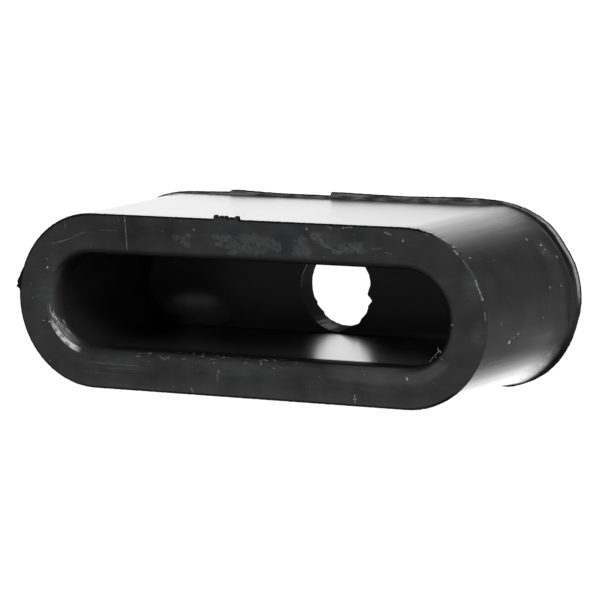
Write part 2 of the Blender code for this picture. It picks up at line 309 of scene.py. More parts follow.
# Behind the front edge the flash ends, and the block's side runs back to the lip's root
for depth, flash, ragged in (
    (-13.30, 1, 0.7), (-13.07, 0.9, 0.3), (-13.05, 0, 0.3), (-12.6, 0, 0),
):
    rings.append((depth, block_side(depth, 0.0, flash, ragged), 0.0, greyer_right_arc(0.0)))
for depth in (-12.0, -10.5, -8.5, -6.0, -3.5, -1.0, 1.5, 4.0, 5.5, 7.0, 8.2, 9.2, 10.0, 10.7, 11.3):
    rings.append((depth, block_side(depth), 0.0, 1.0))
rings.append((LIP_ROOT_START, block_side(LIP_ROOT_START), 0.4, 0.9))

# The lip's root, its face, the knife's cut round its rim, and the rear face to the hole's edge
for sine, rise in quarter(3):
    depth = LIP_ROOT_START + LIP_ROOT * sine
    rings.append((depth, lip_edge(LIP_FRONT, LIP_ROOT * rise), 0.7, 0.7))
rings.append((LIP_FRONT, lip_edge(LIP_FRONT, 0.4, LIP_EDGE), 1.0, 0.8))
rings.append((LIP_FRONT, lip_edge(LIP_FRONT, rounding=LIP_EDGE), 1.0, 0.3))
for sine, rise in quarter(3):
    depth = LIP_FRONT + LIP_EDGE * rise
    rings.append((depth, lip_edge(LIP_FRONT, rounding=LIP_EDGE * (1 - sine)), 1.0, 0.4))
for depth in (12.3, 12.6, 12.9, 13.2, 13.5, REAR - LIP_EDGE):
    rings.append((depth, lip_edge(depth), 1.0, 0.4))
for sine, rise in quarter(3):
    depth = REAR - LIP_EDGE * (1 - sine)
    rings.append((depth, lip_edge(REAR, rounding=LIP_EDGE * rise), 0.6, 0.0))
rim = lip_edge(REAR, rounding=LIP_EDGE)
for share in (0.97, 0.9, 0.78, 0.64, 0.5, 0.36, 0.22, 0.1, 0.03, 0.0):
    rings.append((REAR, between(hole_edge(REAR), rim, share), 0.6, 1.0))
for depth in (13.2, 12.5, 11.8, 11.1, WEB):
    rings.append((depth, hole_edge(depth), 0.1, 0.0))

places = loop_places()
skin = bmesh.new()
along_layer, turn_layer, dull_layer, grey_layer = (
    skin.verts.layers.float.new(name) for name in ("along", "turn", "dull", "grey")
)
loop = bmesh.ops.create_circle(skin, segments=len(places), radius=CORE * MM)["verts"]
for vert, (along, turn) in zip(loop, places):
    vert[along_layer], vert[turn_layer] = along, turn


def settle(verts, depth, outline, dull, grey):
    """Puts a ring of points at its depth and on its outline, with its finish."""
    for vert in verts:
        along, turn = vert[along_layer], vert[turn_layer]
        x, z = outline(along, turn)
        vert.co = Vector((x, depth, z + MIDDLE_HEIGHT)) * MM
        vert[dull_layer] = dull(along, turn) if callable(dull) else dull
        vert[grey_layer] = grey(along, turn) if callable(grey) else grey


settle(loop, *rings[0])
last_loop, edges = loop, skin.edges[:]
for ring in rings[1:]:
    made = bmesh.ops.extrude_edge_only(skin, edges=edges)["geom"]
    last_loop = [item for item in made if isinstance(item, bmesh.types.BMVert)]
    level = set(last_loop)
    edges = [
        item for item in made
        if isinstance(item, bmesh.types.BMEdge) and level.issuperset(item.verts)
    ]
    settle(last_loop, *ring)
SEAM = 0.001
bmesh.ops.remove_doubles(skin, verts=loop + last_loop, dist=SEAM * MM)
bmesh.ops.recalc_face_normals(skin, faces=skin.faces)

block_mesh = bpy.data.meshes.new("rubber_block")
skin.to_mesh(block_mesh)
skin.free()
block_mesh.shade_smooth()
SHARP_EDGE = 35
block_mesh.set_sharp_from_angle(angle=math.radians(SHARP_EDGE))
block = bpy.data.objects.new("rubber_block", block_mesh)
bpy.context.scene.collection.objects.link(block)


class Socket:
    """A socket in a material's nodes. Sums on it add Math nodes, and node adds any other."""

    def __init__(self, tree, socket=None):
        self.tree, self.socket = tree, socket

    def node(self, kind, settings=None, inputs=None, output=0):
        """Adds a node: its settings first, then the values or links of its sockets."""
        node = self.tree.nodes.new(kind)
        for name, value in (settings or {}).items():
            if name == "stops":
                stops = node.color_ramp.elements
                while len(stops) < len(value):
                    stops.new(1.0)
                for stop, (position, colour) in zip(stops, value):
                    stop.position, stop.color = position, (*colour, 1.0)
            else:
                setattr(node, name, value)
        for name, value in (inputs or {}).items():
            if isinstance(value, Socket):
                self.tree.links.new(value.socket, node.inputs[name])
            else:
                node.inputs[name].default_value = value
        return Socket(self.tree, node.outputs[output]) if node.outputs else None

    def beside(self, output):
        """Another output of the same node."""
        return Socket(self.tree, self.socket.node.outputs[output])

    def maths(self, operation, first, second=0.0):
        """Adds a Math node."""
        return self.node("ShaderNodeMath", {"operation": operation}, {0: first, 1: second})

    def __add__(self, other):
        return self.maths("ADD", self, other)

    def __sub__(self, other):
        return self.maths("SUBTRACT", self, other)

    def __rsub__(self, other):
        return self.maths("SUBTRACT", other, self)

    def __mul__(self, other):
        return self.maths("MULTIPLY", self, other)

    __radd__, __rmul__ = __add__, __mul__

    def ramp(self, low, high, start=0.0, end=1.0):
        """Carries low..high smoothly to start..end."""
        return self.node(
            "ShaderNodeMapRange",
            {"interpolation_type": "SMOOTHSTEP"},
            {"Value": self, "From Min": low, "From Max": high, "To Min": start, "To Max": end},
        )


def new_material(name):
    """A material with no nodes yet, and its tree as a Socket to add them to."""
    material = bpy.data.materials.new(name)
    material.use_nodes = True
    material.node_tree.nodes.clear()
    return material, Socket(material.node_tree)


# The rubber's finish
# Glossy where the polished mould shaped it, dull on the face that was ground flat, on the knife's
# cuts and in the torn hole. Handling left grey bloom, scuffs, scratches and pale dust on it, and
# its colour also carries painted highlights and painted shade.
GLOSSY_ROUGH, SATIN_ROUGH, MATT_ROUGH = 0.25, 0.34, 0.62
GLOSSY_COAT = 0.35
RUBBER_IOR = 1.5
rubber, nodes = new_material("moulded_rubber")


def vector(operation, first, second, output="Vector"):
    """Adds a Vector Math node."""
    sockets = {0: first, 1: second}
    return nodes.node("ShaderNodeVectorMath", {"operation": operation}, sockets, output)


def length(where):
    """How long a vector is."""
    return vector("LENGTH", where, (0, 0, 0), "Value")


def plain_grey(tone):
    """The colour that has one tone in all three channels."""
    return nodes.node("ShaderNodeCombineColor", {}, {0: tone, 1: tone, 2: tone})


def cloud(where, scale, detail=3.0, roughness=0.5, stretch=None):
    """Cloudy noise over the rubber, about 0.5, with a scale in cells per millimetre."""
    if stretch:
        where = vector("MULTIPLY", where, stretch)
    return nodes.node(
        "ShaderNodeTexNoise",
        {},
        {"Vector": where, "Scale": scale, "Detail": detail, "Roughness": roughness},
    )


# Millimetres, with heights over the block's middle
PER_MM = 1000
place = nodes.node("ShaderNodeTexCoord", output="Object")
place = vector("MULTIPLY", place, (PER_MM, PER_MM, PER_MM))
place = vector("SUBTRACT", place, (0, 0, MIDDLE_HEIGHT))
across = nodes.node("ShaderNodeSeparateXYZ", {}, {0: place})
depth, height = across.beside(1), across.beside(2)
# The same place, shaken a little, for marks with ragged edges
SHAKE = 0.35
shaken = {"Vector": place, "Scale": 5.0, "Detail": 2.0}
shaken = vector("SUBTRACT", nodes.node("ShaderNodeTexNoise", {}, shaken, "Color"), (0.5, 0.5, 0.5))
shaken = vector("ADD", place, vector("MULTIPLY", shaken, (SHAKE, SHAKE, SHAKE)))

dull = nodes.node("ShaderNodeAttribute", {"attribute_name": "dull"}, output="Fac")
grey = nodes.node("ShaderNodeAttribute", {"attribute_name": "grey"}, output="Fac")
on_face = depth.ramp(FRONT + 0.35, FRONT + 0.1)
grain = cloud(place, 4.0, 2)
mottle = cloud(place, 0.30, 4)
fleck = cloud(place, 1.4, 5, 0.65)
brushed = cloud(place, 1.1, 4, 0.6, (0.35, 1, 1.6))
# How far a point stands from the block's core, in the plane of the front face
past_core = nodes.maths("MAXIMUM", nodes.maths("ABSOLUTE", across) - CORE, 0.0)
from_core = length(nodes.node("ShaderNodeCombineXYZ", {}, {0: past_core, 2: height}))
in_pocket = from_core.ramp(9.5, 8.5)


def spot(middle, radius, soft=0.6):
    """A round spot: 1 inside, and 0 outside."""
    return vector("DISTANCE", shaken, middle, "Value").ramp(radius, radius * (1 - soft))


def stroke(start, end, width):
    """A straight mark from one point to another, with soft sides."""
    start, end = Vector(start), Vector(end)
    way = end - start
    away = vector("SUBTRACT", shaken, start)
    share = vector("DOT_PRODUCT", away, way / way.length_squared, "Value")
    share = nodes.maths("MINIMUM", nodes.maths("MAXIMUM", share), 1.0)
    nearest = nodes.node("ShaderNodeVectorMath", {"operation": "SCALE"}, {0: way, "Scale": share})
    return vector("DISTANCE", away, nearest, "Value").ramp(width, width * 0.3)


def strokes(marks, level, widen=1.0):
    """Strokes at a depth, from (x, height) to (x, height), with half width and how pale."""
    return sum(
        (
            stroke((start[0], level, start[1]), (end[0], level, end[1]), width * widen) * pale
            for start, end, width, pale in marks
        ),
        0.0,
    )


def patch(middle, half_width, half_height):
    """A soft oval on the front face: 1 in its middle, and 0 from its edge on."""
    away = vector("SUBTRACT", place, (middle[0], 0, middle[1]))
    away = length(vector("MULTIPLY", away, (1 / half_width, 0, 1 / half_height)))
    return nodes.maths("MAXIMUM", 1 - away)


def strongest(masks):
    """The strongest of some masks, which may be made one by one as it goes."""
    masks = iter(masks)
    total = next(masks)
    for mask in masks:
        total = nodes.maths("MAXIMUM", total, mask)
    return total


# Bloom: a grey film of wax on the front face, as overlapping ovals with ragged edges.
# Middle (x, height), half width and half height.
BLOOM = (
    ((-10.8, 9.7), 0.84, 0.41), ((-9.7, 9.3), 0.56, 0.56), ((-9.1, 8.9), 0.66, 0.56),
    ((-8.8, 10.0), 0.47, 0.28), ((-4.3, 10.0), 0.75, 0.47), ((-3.3, 9.8), 0.94, 0.56),
    ((-3.8, 9.0), 0.94, 0.38), ((-2.2, 9.9), 0.75, 0.66), ((-1.6, 8.9), 1.50, 0.75),
    ((0.4, 9.8), 1.31, 0.94), ((2.1, 9.8), 1.50, 1.03), ((3.9, 9.4), 1.50, 0.94),
    ((5.3, 9.1), 1.03, 0.84), ((1.1, 8.5), 2.62, 0.84), ((-1.6, 8.0), 0.94, 0.47),
    ((9.4, 9.7), 1.12, 1.03), ((8.9, 8.6), 1.22, 0.94), ((10.3, 8.5), 0.66, 0.75),
    ((11.5, 10.7), 0.94, 0.66), ((12.4, 10.0), 0.41, 0.56), ((13.3, 9.4), 0.84, 0.30),
    ((14.9, 8.7), 1.12, 0.34), ((15.8, 9.2), 0.84, 0.75), ((17.1, 9.3), 0.84, 0.75),
    ((18.1, 9.7), 1.03, 0.56), ((18.8, 8.9), 0.84, 0.41),
)
BLOOM_SPREAD = 1.35
bloom = strongest(
    patch(middle, wide * BLOOM_SPREAD, high * BLOOM_SPREAD) for middle, wide, high in BLOOM
)
edges = cloud(shaken, 1.3, 6, 0.8, (1, 1, 1.3))
gaps = cloud(shaken, 2.4, 3, 0.6, (0.7, 1, 1.5))
bloom = (bloom + (edges - 0.5) * 2.6).ramp(0.30, 0.42) * bloom.ramp(0.0, 0.10) * on_face
bloom = bloom * gaps.ramp(0.36, 0.44, 0.30, 1.0)
# Glints in the film
glints = gaps.ramp(0.56, 0.66) * strongest([
    patch((17.0, 9.3), 1.9, 1.0), patch((11.6, 10.7), 1.2, 0.7), patch((-9.9, 9.6), 1.4, 0.9) * 0.6,
    patch((5.6, 9.0), 0.6, 0.8), patch((-3.6, 9.6), 1.6, 0.8) * 0.6,
]).ramp(0.0, 0.4)

# Where the film is bluish, and where wiping spread it thin along the brushed grain
cool = strongest([
    patch((6.9, 10.2), 3.4, 2.3), patch((-2.3, 11.3), 3.8, 1.1), patch((17.7, 11.0), 2.0, 1.3),
]).ramp(0.0, 0.6) * on_face
film = strongest([
    patch((-32.4, 0.6), 2.6, 4.6) * 1.3, patch((-20.5, -8.7), 7.5, 1.3) * 1.2,
    patch((35.6, 5.2), 2.0, 3.2) * 1.2, patch((36.4, -1.6), 1.6, 2.2) * 1.3,
    patch((20.0, -9.0), 9.0, 1.6), patch((0.0, -8.4), 9.0, 1.5) * 1.2,
    patch((13.8, 10.3), 4.0, 1.9) * 0.8, patch((-31.5, 4.4), 1.6, 4.0) * 0.7,
]) * (brushed * 2 - 0.35) * on_face

# Scuffs and a painted highlight: pale streaks that a foot left as it was pushed in, at the mouth's
# lower left, whose paleness also paints the highlight on the rounding there. They run round the
# pocket's left end, so they go by the turn round its middle and the distance from it.
foot = vector("SUBTRACT", place, (-POCKET_CORE, 0, 0))
turned = nodes.maths("ARCTAN2", height, (across + POCKET_CORE) * -1)
spread = length(vector("MULTIPLY", foot, (1, 0, 1)))
combed = nodes.node("ShaderNodeCombineXYZ", {}, {0: turned * 5.0, 1: spread * 6.0, 2: depth * 4.0})
comb = cloud(combed, 1.0, 4.0, 0.6)
outer_strand = (spread - 7.5) * (spread - 7.5)
outer_strand = outer_strand.ramp(0.20, 0.06) * turned.ramp(-0.10, -0.4) * turned.ramp(-1.32, -1.12)
inner_middle = turned.ramp(-0.1, -0.95, 7.15, 6.35)
inner_strand = (spread - inner_middle) * (spread - inner_middle)
inner_strand = inner_strand.ramp(0.16, 0.0) * turned.ramp(-0.08, -0.3) * turned.ramp(-1.05, -0.8)
near_mouth = depth.ramp(FRONT + 1.6, FRONT + 1.0)
granular = fleck.ramp(0.38, 0.52, 0.35, 1.0)
lower_gaps = comb.ramp(0.25, 0.42) * turned.ramp(-0.5, -0.7) * 0.9
outer_gaps = nodes.maths("MAXIMUM", comb.ramp(0.40, 0.60), lower_gaps)
outer_gaps = outer_gaps * turned.ramp(-0.35, -0.62, 0.16, 1.0) * granular
rubbed = spread.ramp(7.95, 7.5) * (spread - inner_middle).ramp(-0.35, 0.1)
rubbed = rubbed * turned.ramp(-0.10, -0.50) * turned.ramp(-1.30, -0.95)
rubbed = rubbed * comb.ramp(0.35, 0.62, 0.35, 1.0)
tail = spread.ramp(7.9, 7.5) * spread.ramp(6.5, 6.9)
tail = tail * turned.ramp(0.05, -0.2) * turned.ramp(-0.6, -0.4)
scuff_and_highlight = strongest([
    outer_strand * outer_gaps, inner_strand * comb.ramp(0.44, 0.66) * granular * 0.8,
    rubbed * 0.14, tail * comb.ramp(0.52, 0.66) * granular * 0.2,
    spot((-31.48, FRONT + 0.3, -3.04), 0.22) * 0.8, spot((-33.39, FRONT, -3.22), 0.14),
    spot((-32.40, FRONT, -3.35), 0.16), spot((-31.9, FRONT, 0.3), 0.12),
    spot((-31.85, FRONT + 0.3, -1.2), 0.13) * 0.7,
]) * near_mouth

# Scratches on the front face: from (x, height) to (x, height), half width, and how pale
SCRATCHES = (
    ((-31.65, 7.91), (-29.23, 8.54), 0.09, 0.10), ((-29.23, 8.54), (-26.09, 9.81), 0.08, 0.06),
    ((-19.23, 12.40), (-18.97, 7.69), 0.09, 0.16), ((-29.42, 11.53), (-29.21, 10.11), 0.08, 0.10),
    ((-23.39, 10.20), (-20.55, 10.17), 0.07, 0.06), ((-20.35, 12.2), (-20.2, 11.5), 0.07, 0.07),
    ((-8.95, -11.5), (-8.6, -12.3), 0.09, 0.16), ((-4.45, -8.6), (-4.6, -10.2), 0.09, 0.10),
    ((17.20, -10.9), (17.26, -12.0), 0.10, 0.25), ((16.9, -11.5), (17.6, -11.4), 0.07, 0.14),
    ((10.1, -10.7), (10.4, -11.0), 0.07, 0.10), ((28.7, -5.3), (30.6, -3.6), 0.09, 0.16),
    ((29.4, -3.9), (30.8, -5.2), 0.08, 0.16), ((30.0, -3.2), (30.3, -4.6), 0.07, 0.12),
    ((28.6, -5.0), (29.6, -5.5), 0.07, 0.12), ((-14.6, -7.0), (-13.2, -7.7), 0.10, 0.12),
    ((15.88, 12.05), (17.29, 12.25), 0.13, 0.12), ((13.55, 12.10), (14.17, 11.88), 0.10, 0.10),
    ((22.36, 11.70), (23.28, 11.40), 0.14, 0.12), ((20.32, 9.37), (21.86, 9.50), 0.10, 0.05),
    ((22.31, 9.04), (23.38, 8.78), 0.10, 0.06), ((12.1, 10.7), (13.0, 9.5), 0.09, 0.06),
    ((13.0, 9.5), (15.6, 8.6), 0.09, 0.06), ((-25.7, -8.8), (-17.3, -8.9), 0.10, 0.04),
    ((-22.9, -9.5), (-17.9, -9.4), 0.08, 0.03), ((-26.4, -10.2), (-20.1, -10.3), 0.09, 0.02),
)
scratch = strokes(SCRATCHES, FRONT) * on_face * grain.ramp(0.3, 0.5)

# Specks of dust and chips: (x, depth, height), radius, and how pale
SPECKS = (
    ((-32.48, FRONT, 5.72), 0.12, 0.12), ((-32.49, FRONT, 4.47), 0.17, 0.40),
    ((-35.13, FRONT, -0.07), 0.16, 0.12), ((-7.85, FRONT, 10.83), 0.18, 0.15),
    ((25.36, FRONT, -8.15), 0.22, 0.35), ((-4.3, FRONT, -8.9), 0.15, 0.15),
    ((-4.7, FRONT, -9.4), 0.12, 0.12), ((32.34, FRONT, -0.40), 0.2, 0.12),
    ((34.17, -11.74, 8.51), 0.20, 0.30), ((34.96, -6.18, 7.61), 0.16, 0.16),
    ((33.85, 6.11, 8.96), 0.30, 0.20), ((34.79, 8.60, 7.94), 0.22, 0.40),
    ((35.28, 8.90, 7.30), 0.26, 0.16), ((35.51, 7.78, 6.95), 0.20, 0.12),
    ((36.07, 10.89, 6.05), 0.36, 0.14), ((37.36, 6.07, 2.44), 0.20, 0.30),
    ((37.41, 9.45, 2.22), 0.24, 0.16), ((37.53, 12.06, 1.48), 0.24, 0.14),
    ((37.50, 3.56, -1.41), 0.20, 0.20), ((36.68, 11.12, -4.78), 0.22, 0.12),
    ((37.01, -6.02, -3.58), 0.36, 0.50), ((37.15, -4.82, -3.12), 0.22, 0.20),
    ((37.25, -3.70, -2.72), 0.26, 0.30), ((36.33, 8.78, -5.53), 0.20, 0.14),
    ((37.51, -9.25, -0.59), 0.26, 0.12),
    ((-16.74, FRONT + 0.5, -6.91), 0.12, 0.25), ((-14.83, FRONT + 0.5, -6.95), 0.10, 0.20),
    ((-13.78, FRONT + 0.4, -7.58), 0.16, 0.30), ((-15.85, FRONT, -8.20), 0.10, 0.14),
    ((-7.78, FRONT, -8.85), 0.10, 0.14), ((-5.11, FRONT, -7.73), 0.14, 0.22),
    ((-4.30, FRONT + 0.6, -6.50), 0.12, 0.22), ((0.07, FRONT, -7.43), 0.13, 0.28),
    ((1.68, FRONT + 0.6, -6.16), 0.14, 0.25), ((1.55, FRONT + 0.4, -6.56), 0.10, 0.20),
    ((3.24, FRONT + 0.4, -6.47), 0.14, 0.30), ((4.03, FRONT + 0.4, -6.50), 0.12, 0.25),
    ((5.90, FRONT + 0.5, -6.19), 0.10, 0.20), ((6.80, FRONT + 0.6, -5.87), 0.13, 0.22),
    ((7.12, FRONT, -6.95), 0.14, 0.22), ((4.50, FRONT, -7.97), 0.12, 0.20),
    ((18.58, FRONT, -7.42), 0.11, 0.18), ((11.67, FRONT, -8.66), 0.13, 0.10),
    ((4.12, FRONT, -12.48), 0.12, 0.12), ((-14.27, FRONT, -12.20), 0.12, 0.10),
    ((-11.72, FRONT, 12.37), 0.17, 0.30), ((-9.97, FRONT, 12.00), 0.12, 0.14),
    ((10.20, FRONT, 11.69), 0.20, 0.20), ((-24.98, FRONT, 7.86), 0.10, 0.12),
    ((-37.40, FRONT, 0.98), 0.12, 0.10), ((-32.52, FRONT, -9.04), 0.13, 0.16),
    ((31.33, FRONT, 2.13), 0.10, 0.14), ((32.26, FRONT + 0.3, -0.58), 0.14, 0.20),
    ((-27.67, FRONT, -11.93), 0.13, 0.30), ((25.10, FRONT, 10.68), 0.20, 0.16),
)
speck = sum((spot(middle, radius) * pale for middle, radius, pale in SPECKS), 0.0)

# Fine dust over everything, and chips along the mouth's lower edge
cells = {"Vector": shaken, "Scale": 0.85, "Randomness": 1.0}
cells = nodes.node("ShaderNodeTexVoronoi", {}, cells, "Distance")
lucky = nodes.node("ShaderNodeSeparateColor", {}, {0: cells.beside("Color")})
dust = cells.ramp(0.10, 0.05) * lucky.ramp(0.80, 0.95) * 0.10
low_edge = height.ramp(-5.6, -6.3) * height.ramp(-8.0, -7.4)
low_edge = low_edge * across.ramp(-18.5, -17) * across.ramp(10, 8)
chip = cloud(place, 2.2, 3, 0.7, (0.45, 1, 1.3)).ramp(0.60, 0.66) * low_edge * 0.16
chip = chip * depth.ramp(FRONT + 1.2, FRONT + 0.8)

# Pale bits along the face's edge, listed as the scratches are
EDGE_BITS = (
    ((32.75, 9.75), (33.3, 9.15), 0.12, 0.16), ((34.05, 8.45), (35.05, 7.1), 0.10, 0.06),
    ((35.95, 5.7), (36.4, 4.5), 0.11, 0.30), ((36.5, 4.3), (36.95, 3.2), 0.11, 0.20),
    ((37.2, 1.6), (37.35, 0.5), 0.12, 0.07), ((37.4, -3.0), (37.3, -3.6), 0.14, 0.14),
    ((37.35, -6.4), (37.1, -6.9), 0.14, 0.10), ((28.3, 11.9), (29.1, 11.6), 0.14, 0.10),
    ((-33.4, -9.2), (-32.9, -9.6), 0.14, 0.25), ((-28.3, -12.0), (-27.6, -12.2), 0.12, 0.25),
)
edge_bit = strokes(EDGE_BITS, FRONT + 0.1, 1.3)

# The lip: its face is mottled, and the knife's cut on its rim is palest at the upper right
on_end = across.ramp(CORE - 4, CORE + 6)
lip_face = depth.ramp(LIP_FRONT - 0.14, LIP_FRONT - 0.03)
lip_face = lip_face * depth.ramp(LIP_FRONT + 0.10, LIP_FRONT + 0.02)
cut = depth.ramp(LIP_FRONT + 0.02, LIP_FRONT + 0.10) * depth.ramp(REAR, REAR - 0.14)
lip = nodes.maths("MINIMUM", lip_face + cut, 1.0)
right_turn = nodes.maths("ARCTAN2", height, across - CORE)
upper_right_rim = right_turn.ramp(-0.10, 0.12) * right_turn.ramp(1.05, 0.90) * across.ramp(CORE, CORE + 2)
strip = depth.ramp(LIP_FRONT + 0.25, LIP_FRONT + 0.60) * depth.ramp(REAR - 0.42, REAR - 0.62)
lip_paleness = cut * upper_right_rim * strip * fleck.ramp(0.30, 0.58, 0.35, 1.0) * 0.27
upper = height.ramp(8.0, 11.5)
blotch = brushed.ramp(0.38, 0.64, 0.025, 0.19)
lip_paleness = lip_paleness + lip_face * upper * blotch * (1 - across.ramp(CORE + 2, CORE + 7) * 0.8)
lip_paleness = lip_paleness + lip_face * on_end * 0.006
upper_cut = cut * upper * (1 - upper_right_rim)
lip_paleness = lip_paleness + upper_cut * across.ramp(CORE + 0.5, CORE + 3.0) * fleck.ramp(0.35, 0.60) * 0.09
low_lip = lip * height.ramp(-2.0, -8.0)
# Painted light: paler rubber on the top and the right end just before the lip, in place of the
# lip's dark reflection there
near_lip = depth.ramp(6.5, 10.5)
painted_top_light = near_lip * upper * (1 - cut) * (1 - lip_face) * 0.06
painted_light_by_lip = near_lip * on_end * (1 - cut) * height.ramp(-11, -4) * height.ramp(9, 4) * 0.012
painted_light_by_lip = painted_top_light + painted_light_by_lip

# Painted highlight: a pale, lens-shaped patch over the web's left part, in place of a soft
# reflection there
on_web = depth.ramp(WEB - 0.3, WEB - 0.1) * depth.ramp(WEB + 0.3, WEB + 0.1)
painted_web_highlight = patch((-22.6, -4.2), 6.6, 3.4) * 0.055 + patch((-22.6, -3.0), 4.6, 1.4) * 0.110
painted_web_highlight = painted_web_highlight * on_web * mottle.ramp(0.2, 0.7, 0.7, 1.2)

# Painted highlights on the right end by the lip: pale patches in place of its bright reflections
painted_end_highlight = spot((35.0, 8.6, 7.4), 2.6, 1.0) * 0.035 + spot((34.9, 9.6, -7.7), 3.0, 1.0) * 0.25
painted_end_highlight = painted_end_highlight + spot((32.6, 9.6, -10.2), 3.4, 1.0) * 0.30
painted_end_highlight = painted_end_highlight * fleck.ramp(0.34, 0.62)

# The bare rubber's tone, with what wear and film change, darker patches on the face, painted light
# and shade, and the pale marks over it, some of which are painted highlights
BARE_TONE, DARKEST_TONE = 0.015, 0.003
pale = scuff_and_highlight * 0.55 + painted_end_highlight + scratch + speck + dust * grey + chip + lip_paleness + painted_web_highlight + edge_bit
worn_tone = 0.0035 + dull * 0.0125 + (mottle - 0.5) * 0.032 + (grain - 0.5) * dull * 0.006
ground = BARE_TONE + grey * worn_tone
ground = ground - patch((-18.0, 9.6), 11.0, 3.4) * on_face * 0.014 - cool * 0.004
ground = ground - patch((-14.5, -10.0), 7.0, 2.6) * on_face * 0.007
# Painted light: the pocket's floor paler at its right
ground = ground + in_pocket * height.ramp(-5.4, -6.0) * across.ramp(11.0, 17.0) * 0.022
# Painted shade: the rubber darker towards the bottom
ground = ground - height.ramp(-6.5, -9) * (grey * 0.0035 + on_face * 0.006)
ground = ground + (brushed - 0.5) * on_face * 0.010
ground = ground + bloom * (0.020 + (fleck - 0.5) * 0.06) + glints * on_face * 0.07 + film * 0.020
tone = nodes.maths("MAXIMUM", ground + painted_light_by_lip + pale, DARKEST_TONE)
colour = nodes.node(
    "ShaderNodeCombineColor",
    {},
    {
        0: tone - cool * 0.001,
        1: tone + bloom * 0.0012 + film * 0.003,
        2: tone + bloom * 0.0022 + film * 0.002 + cool * 0.002,
    },
)

# Fine relief, and lines that the mould drew along the ends
drawn = cloud(place, 0.5, 3, 0.5, (1, 0.04, 1))
bump_height = (fleck * dull * 0.9 + drawn * (1 - dull) * on_end * 22.0) * grey
bump = {"Strength": 0.3, "Distance": 0.00003, "Height": bump_height}
bump = nodes.node("ShaderNodeBump", {}, bump)
polish = SATIN_ROUGH + (drawn - 0.5) * on_end * 0.2 + (mottle - 0.5) * 0.06


def rubber_shader(gloss):
    """Rubber of the one colour and relief, with a gloss of its own."""
    shared = {"Base Color": colour, "IOR": RUBBER_IOR, "Normal": bump}
    return nodes.node("ShaderNodeBsdfPrincipled", {}, {**shared, **gloss})


glossy = rubber_shader({
    "Roughness": GLOSSY_ROUGH,
    "Coat Weight": GLOSSY_COAT,
    "Coat Roughness": GLOSSY_ROUGH,
    "Coat IOR": RUBBER_IOR,
})
satin = rubber_shader({
    "Roughness": polish,
    "Coat Weight": 1.0,
    "Coat Roughness": SATIN_ROUGH,
    "Coat IOR": RUBBER_IOR,
})
matt = rubber_shader({
    "Roughness": MATT_ROUGH + (fleck - 0.5) * 0.3,
    "Specular IOR Level": 0.2,
})

# Painted shade: deep places that the room's light doesn't reach, given a dark matt finish: the
# hole's wall, the pocket's far corner, the mouth's edge, the edge round the face, and the knife's
# lines and a nick on the lip, its lower part and its root
from_axis = length(vector("MULTIPLY", vector("SUBTRACT", place, (HOLE_SHIFT, 0, 0)), (1, 0, 1)))
in_hole = from_axis.ramp(7.2, 6.9) * depth.ramp(WEB + 0.01, WEB + 0.05)
dark_corner = spread.ramp(4.6, 5.8) * depth.ramp(WEB - 1.5, WEB - 0.3)
dark_corner = dark_corner * depth.ramp(WEB + 0.3, WEB + 0.1)
dark_corner = dark_corner * across.ramp(-POCKET_CORE + 1, -POCKET_CORE - 1)
lit_arc = spot((-2.2, 11.6, -5.4), 3.2, 0.8)
upper_mouth = strongest([height.ramp(2.0, 5.5), across.ramp(CORE - 3, CORE + 4)])
dark_mouth = nodes.maths(
    "MAXIMUM",
    from_core.ramp(7.75, 6.95) * upper_mouth,
    in_pocket * height.ramp(-4.5, -6.0) * across.ramp(-25.0, -21.0)
    * depth.ramp(FRONT + 0.15, FRONT + 0.6) * depth.ramp(FRONT + 3.4, FRONT + 2.4),
)
dark_mouth = dark_mouth * depth.ramp(FRONT + 5.0, FRONT + 3.4)
dark_mouth = dark_mouth * (1 - (speck + chip).ramp(0.02, 0.10))
dark_edge = (1 - grey).ramp(0.25, 0.70) * from_core.ramp(11.5, 12.0)
outer_edge = strongest([height.ramp(3.0, -2.0), across.ramp(-CORE + 1, -CORE - 2)])
outer_edge = from_core.ramp(12.08, 12.24) * outer_edge
outer_edge = outer_edge * strongest([across.ramp(CORE + 5, CORE + 2), height.ramp(-9.0, -10.5)])
dark_edge = strongest([dark_edge, outer_edge]) * depth.ramp(FRONT + 0.42, FRONT + 0.30)
dark_rim = upper_cut * across.ramp(CORE + 3.0, CORE + 0.5)
dark_line = depth.ramp(REAR - 0.55, REAR - 0.40) * depth.ramp(REAR - 0.01, REAR - 0.05)
dark_line = dark_line * across.ramp(CORE, CORE + 2) * height.ramp(-1.0, 1.0)
nick = lip * right_turn.ramp(1.210, 1.216) * right_turn.ramp(1.232, 1.226)
lip_corner = lip * depth.ramp(LIP_FRONT + 0.28, LIP_FRONT + 0.12) * from_core.ramp(12.95, 13.15)
lip_corner = lip_corner * across.ramp(CORE - 2, CORE + 1) * height.ramp(1.0, 6.0)
root_line = depth.ramp(LIP_ROOT_START - 0.05, LIP_ROOT_START + 0.05)
root_line = root_line * depth.ramp(LIP_FRONT + 0.02, LIP_FRONT - 0.04)
root_line = root_line * strongest([upper, on_end * 0.5])
shiny = nodes.node("ShaderNodeMixShader", {}, {0: grey, 1: glossy, 2: satin})
surface = nodes.node("ShaderNodeMixShader", {}, {0: dull, 1: shiny, 2: matt})
unlit = strongest([
    in_hole * (1 - lit_arc * 0.5) * 0.985, low_lip * 0.9, dark_corner * 0.9, dark_mouth * 0.97,
    dark_edge * 0.92, dark_rim * 0.95, dark_line * 0.8, root_line * 0.6, nick * 0.95,
    lip_corner * 0.75,
])
